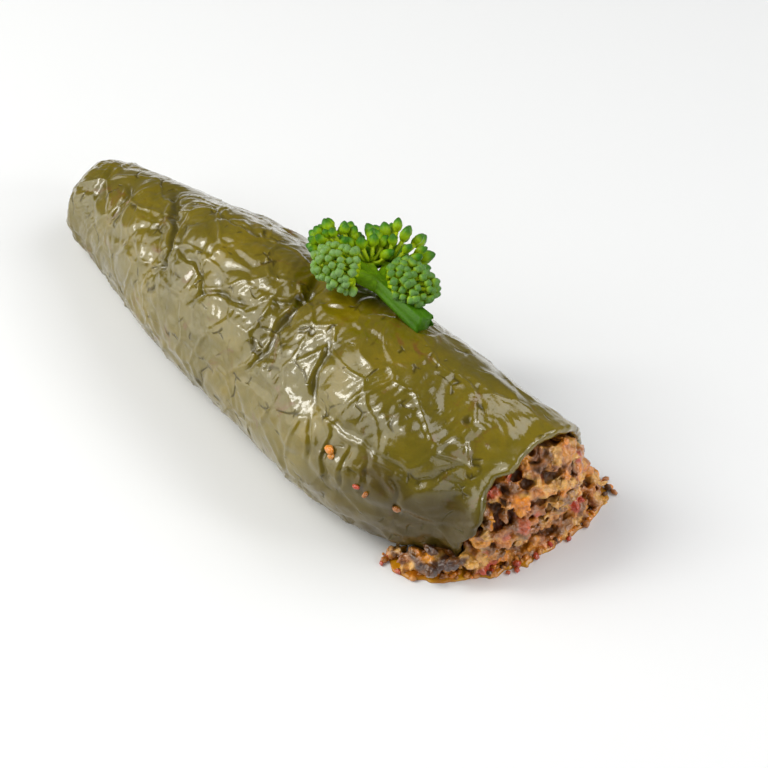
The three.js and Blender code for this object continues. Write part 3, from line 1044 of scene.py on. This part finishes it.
def add_stem(bm, points, radii, shades, sides=8, steps=8, ridges=0.0, ragged=0.0):
    """A round stem through three points. Each end has a radius, and a shade, which is its place on the ramp
    of greens. ragged is how far the first end is torn."""
    part, bud_tip, _ = new_part()
    bmesh.ops.create_grid(part, x_segments=steps, y_segments=sides, size=0.5)
    for v in part.verts:
        along, turn = v.co.x + 0.5, 2 * math.pi * (v.co.y + 0.5)
        before, after = (curve_point(points, end) for end in (max(along - 0.02, 0), min(along + 0.02, 1)))
        run = (after - before).normalized()
        side = run.cross(Vector((0.1, 0.2, 1))).normalized()
        radius = radii[0] + (radii[1] - radii[0]) * along
        radius *= 1 + ridges * (math.cos(5 * turn) + 0.45 * math.cos(11 * turn + 1))
        out = side * math.cos(turn) + run.cross(side) * math.sin(turn)
        tear = noise.noise(Vector((2.6 * math.cos(turn), 2.6 * math.sin(turn), 5)))
        torn = ragged * tear * max(1 - along * steps / 2, 0)
        v.co = curve_point(points, along) + out * radius + run * torn
        v[bud_tip] = shades[0] + (shades[1] - shades[0]) * along
    weld(part, 0.0001)
    close_up(part)
    join_in(bm, part)


# %% Heads of buds
HEADS = [
    # centre from the fork and half sizes in mm, number of buds, bud length for its width, bloom, how open
    ((-16.0, 0.0, 2.0), (7.5, 7.0, 6.0), 40, 1.6, 0.0, 0.6),
    ((-8.0, -6.5, 1.5), (8.5, 6.5, 6.0), 84, 1.2, 0.85, 0.1),
    ((-9.0, 4.0, 2.5), (6.5, 6.5, 5.5), 28, 1.7, 0.1, 0.9),
    ((-5.0, 12.0, 3.0), (8.5, 8.5, 7.0), 36, 1.9, 0.15, 1.1),
    ((6.8, 4.4, 3.2), (9.0, 7.0, 5.4), 96, 1.2, 0.5, 0.15),
]
GOLDEN_ANGLE = math.pi * (3 - math.sqrt(5))
BUD_RADIUS = 1.22
CORE_SHADE = -0.75  # the place of a head's dark core on the ramp of greens


def add_bud(bm, base, out, radius, length, bloom):
    """A bud that stands on its base: four sepals closed over it, pale below and green at the tip."""
    side = out.orthogonal().normalized()
    turn = Matrix((side, out.cross(side), out)).transposed()
    part, bud_tip, frost = new_part()
    for v in bmesh.ops.create_uvsphere(part, u_segments=8, v_segments=6, radius=1)["verts"]:
        height = (v.co.z + 1) / 2
        spread = 1 + 0.1 * math.cos(4 * math.atan2(v.co.y, v.co.x))
        spread *= 0.72 + 0.42 * math.sin(math.pi * min(height * 0.9 + 0.1, 1))
        local = Vector((v.co.x * spread, v.co.y * spread, (v.co.z + 0.6) * length))
        v.co = base + turn @ local * radius
        v[bud_tip] = height
        v[frost] = bloom
    join_in(bm, part)


def add_head(bm, centre, size, count, length, bloom, openness):
    """A branch from the fork, a dark core at its end, and buds round it, each on its own stem."""
    away = centre.normalized()
    knee = centre * 0.5
    knee.z = 0.8
    foot = centre - away * 0.45 * size.x
    branch = (Vector((1.5, 0, 0)), knee, foot)
    add_stem(bm, branch, (2.2, 1.7), (-0.62, -0.3), sides=14, steps=12, ridges=0.06)
    inner = 0.66 - 0.22 * openness
    core, bud_tip, _ = new_part()
    for v in bmesh.ops.create_icosphere(core, subdivisions=3, radius=1)["verts"]:
        v.co = centre + inner * size * v.co
        v[bud_tip] = CORE_SHADE
    join_in(bm, core)
    for i in range(count):
        level = 1 - 1.62 * (i + 0.5) / count
        round_it = i * GOLDEN_ANGLE
        flat = math.sqrt(1 - level * level)
        out = Vector((flat * math.cos(round_it), flat * math.sin(round_it), level))
        out = (out + 0.12 * Vector([random.uniform(-1, 1) for _ in range(3)])).normalized()
        # The side that faces the fork shows stems, not buds.
        if out.dot(away) < -0.45 - 0.1 * openness and level < 0.75:
            continue
        lean = (out + 0.35 * away + Vector((0, 0, 0.15))).normalized()
        base = centre + size * out * random.uniform(0.78, 0.88)
        radius = BUD_RADIUS * random.uniform(0.8, 1.12) * (0.87 + 0.2 * openness)
        lifted = centre + (base - centre) * (1 + 0.1 * openness * random.uniform(-1, 1))
        add_bud(bm, lifted, lean, radius, length * random.uniform(0.9, 1.1), bloom)
        middle = (foot + base) / 2 + (out - away) * 0.8
        add_stem(bm, (foot + (base - foot) * 0.1, middle, base), (0.62, 0.55), (-0.25, 0), sides=6, steps=4)


def make_floret():
    bm = bmesh.new()
    stalk = (Vector((18.5, 1.6, -2.9)), Vector((8, 0.6, -0.9)), Vector((-2, 0, 0.6)))
    add_stem(bm, stalk, (3.3, 2.1), (-1.05, -0.6), sides=46, steps=22, ridges=0.07, ragged=1.6)
    # One small bud has sprung from below the left head.
    sprig = (Vector((-5, -4, -0.5)), Vector((-3.5, -6, -0.8)), Vector((-1.5, -7, -0.8)))
    add_stem(bm, sprig, (0.7, 0.6), (-0.3, 0))
    add_bud(bm, Vector((-1.8, -7, -0.8)), Vector((0.75, -0.6, -0.25)).normalized(), 1.15, 1.7, 0.9)
    for centre, size, *rest in HEADS:
        add_head(bm, Vector(centre), Vector(size), *rest)
    bmesh.ops.transform(bm, matrix=FLORET_PLACE, verts=bm.verts)
    face_outwards(bm)
    return bm


floret = make_floret()

# %% [markdown]
# ## Finishes of the mince, the oil and the broccoli
#
# The mince is wet all over, and more orange where oil has soaked in. Deep in its gaps it is painted nearly
# black, as shade, and carries hardly any wet coat. The oil is amber and quite smooth. The broccoli's greens
# lie on one ramp, from the stalk, over the yellow stems, to the dark tips of the buds, where the grey bloom
# lies too.

# %% Mince
def cooked_mince(name):
    finish = Finish(name)
    finish.set(Roughness=0.38, IOR=1.45, Specular_IOR_Level=0.3, Coat_Roughness=0.05, Coat_IOR=1.58)
    finish.set(Subsurface_Weight=0.1, Subsurface_Radius=(1.0, 0.35, 0.15), Subsurface_Scale=0.0012)
    tint = finish.attribute("tint", "Color")
    mottle = finish.ramp(finish.noise(1.3, detail=4), (0.3, (0.68, 0.53, 0.34)), (0.7, (1.32, 1.12, 0.74)))
    mottled = finish.times(tint, mottle)
    oily = finish.ramp(finish.noise(5), (0.45, 0.0), (0.68, 0.38))
    oiled = finish.mix(oily, mottled, (0.50, 0.19, 0.018))
    # Painted shade: the deeper a point lies, and the more it lies in a hole, a seam or the gap under the
    # rim, the nearer to black its colour, and the less wet coat it has.
    painted_hollow_shade = finish.span(finish.attribute("depth"), 0.5, 2.6, 0.0, 0.88)
    finish.join(finish.mix(painted_hollow_shade, oiled, (0.040, 0.012, 0.003)), "Base Color")
    finish.join(finish.span(painted_hollow_shade, 0.2, 0.8, 1.0, 0.1), "Coat Weight")
    grain = finish.add(finish.noise(1.1, distortion=0.6), finish.noise(0.4, detail=2), 0.2)
    finish.bump(grain, 0.36, 0.9)
    return finish.material


mince_finish = cooked_mince("cooked_mince")
finish_piece(mince_mesh, "mince", mince_finish, "minced_filling", "filling")
to_piece(make_crumbs(), "loose_crumbs", mince_finish, "minced_filling")


# %% Oil
def amber_oil():
    finish = Finish("amber_oil")
    finish.set(Roughness=0.06, IOR=1.47, Coat_Weight=0.5, Coat_Roughness=0.03)
    colour = finish.ramp(finish.noise(4), (0.3, (0.42, 0.13, 0.004)), (0.7, (0.62, 0.30, 0.006)))
    finish.join(colour, "Base Color")
    return finish.material


to_piece(make_film(), "oil_film", amber_oil(), "minced_filling")


# %% Broccoli
GREENS = (
    (0.0, (0.050, 0.150, 0.002)),
    (0.12, (0.075, 0.200, 0.002)),
    (0.25, (0.170, 0.330, 0.003)),
    (0.5, (0.400, 0.520, 0.006)),
    (0.74, (0.290, 0.470, 0.004)),
    (0.88, (0.060, 0.210, 0.006)),
    (1.0, (0.030, 0.110, 0.010)),
)
DARKEST_GREEN = (0.020, 0.070, 0.006)
BLOOM = (0.235, 0.370, 0.135)


def broccoli_finish():
    finish = Finish("broccoli_green")
    finish.set(Roughness=0.42, IOR=1.45, Specular_IOR_Level=0.2)
    finish.set(Subsurface_Weight=0.15, Subsurface_Radius=(0.4, 1.0, 0.1), Subsurface_Scale=0.0008)
    green = finish.ramp(finish.span(finish.attribute("bud_tip"), -1.0, 1.0), *GREENS)
    mottle = finish.ramp(finish.noise(1.1), (0.4, 0.0), (0.7, 0.3))
    mottled = finish.mix(mottle, green, DARKEST_GREEN)
    patchy = finish.add(finish.attribute("frost"), finish.noise(0.8, detail=2), 0.7)
    towards_tip = finish.span(finish.attribute("bud_tip"), 0.3, 0.8, 0.15, 1.0)
    bloom = finish.times(finish.span(patchy, 0.5, 1.5, 0.0, 0.88), towards_tip)
    finish.join(finish.mix(bloom, mottled, BLOOM), "Base Color")
    finish.bump(finish.noise(0.5), 0.15, 0.6)
    return finish.material


to_piece(floret, "floret", broccoli_finish(), "broccoli", "broccoli_floret")

# %% [markdown]
# ## Floor and light
#
# A pale floor, and one large soft light low at the front left, which the oily flank mirrors as a grey
# sheen. A narrow lamp above it gives the folds their bright glints, and a small one looks into the mouth.
# Weaker soft lights stand behind and beside the mouth. The sky is dim, so that the skin's own olive shows
# where it faces no light.

# %% Floor
FLOOR_HALF_SIDE = 3.0
FLOOR_GREY = (0.81, 0.82, 0.845, 1)


def make_floor():
    finish = Finish("pale_floor")
    finish.set(Base_Color=FLOOR_GREY, Roughness=0.6)
    bm = bmesh.new()
    bmesh.ops.create_grid(bm, x_segments=1, y_segments=1, size=FLOOR_HALF_SIDE)
    floor = add_object("floor", mesh_from(bm, "floor"))
    floor.data.materials.append(finish.material)


make_floor()


# %% Lights
def softbox(name, direction, distance, width, height, power, colour=(1, 1, 1)):
    """An area light that faces the origin from a direction. Lengths are in metres, the power in watts."""
    light = bpy.data.lights.new(name, "AREA")
    light.shape = "RECTANGLE"
    light.size, light.size_y = width, height
    light.energy = power
    light.color = colour
    lamp = add_object(name, light)
    aim = Vector(direction).normalized()
    turn = aim.to_track_quat("Z", "Y").to_matrix().to_4x4()
    lamp.matrix_world = Matrix.Translation(aim * distance) @ turn


WARM = (1.0, 0.99, 0.93)
softbox("front_softbox", (-0.50, -0.62, 0.58), 1.0, 1.1, 1.5, 11.8, WARM)
softbox("front_lamp", (-0.42, -0.50, 0.75), 0.95, 0.16, 0.5, 3.3, WARM)
softbox("mouth_lamp", (0.75, 0.33, 0.54), 0.9, 0.18, 0.20, 1.4, WARM)
softbox("back_softbox", (0.35, 0.55, 0.75), 1.4, 0.9, 0.9, 7.0)
softbox("side_softbox", (0.92, 0.0, 0.38), 1.2, 0.9, 0.7, 3.2)

# %% Sky
SKY_STRENGTH = 0.14
world = bpy.data.worlds.new("sky")
bpy.context.scene.world = world
world.use_nodes = True
background = world.node_tree.nodes["Background"]
background.inputs["Color"].default_value = (1, 1, 1, 1)
background.inputs["Strength"].default_value = SKY_STRENGTH
bpy.context.scene.view_settings.view_transform = "Standard"
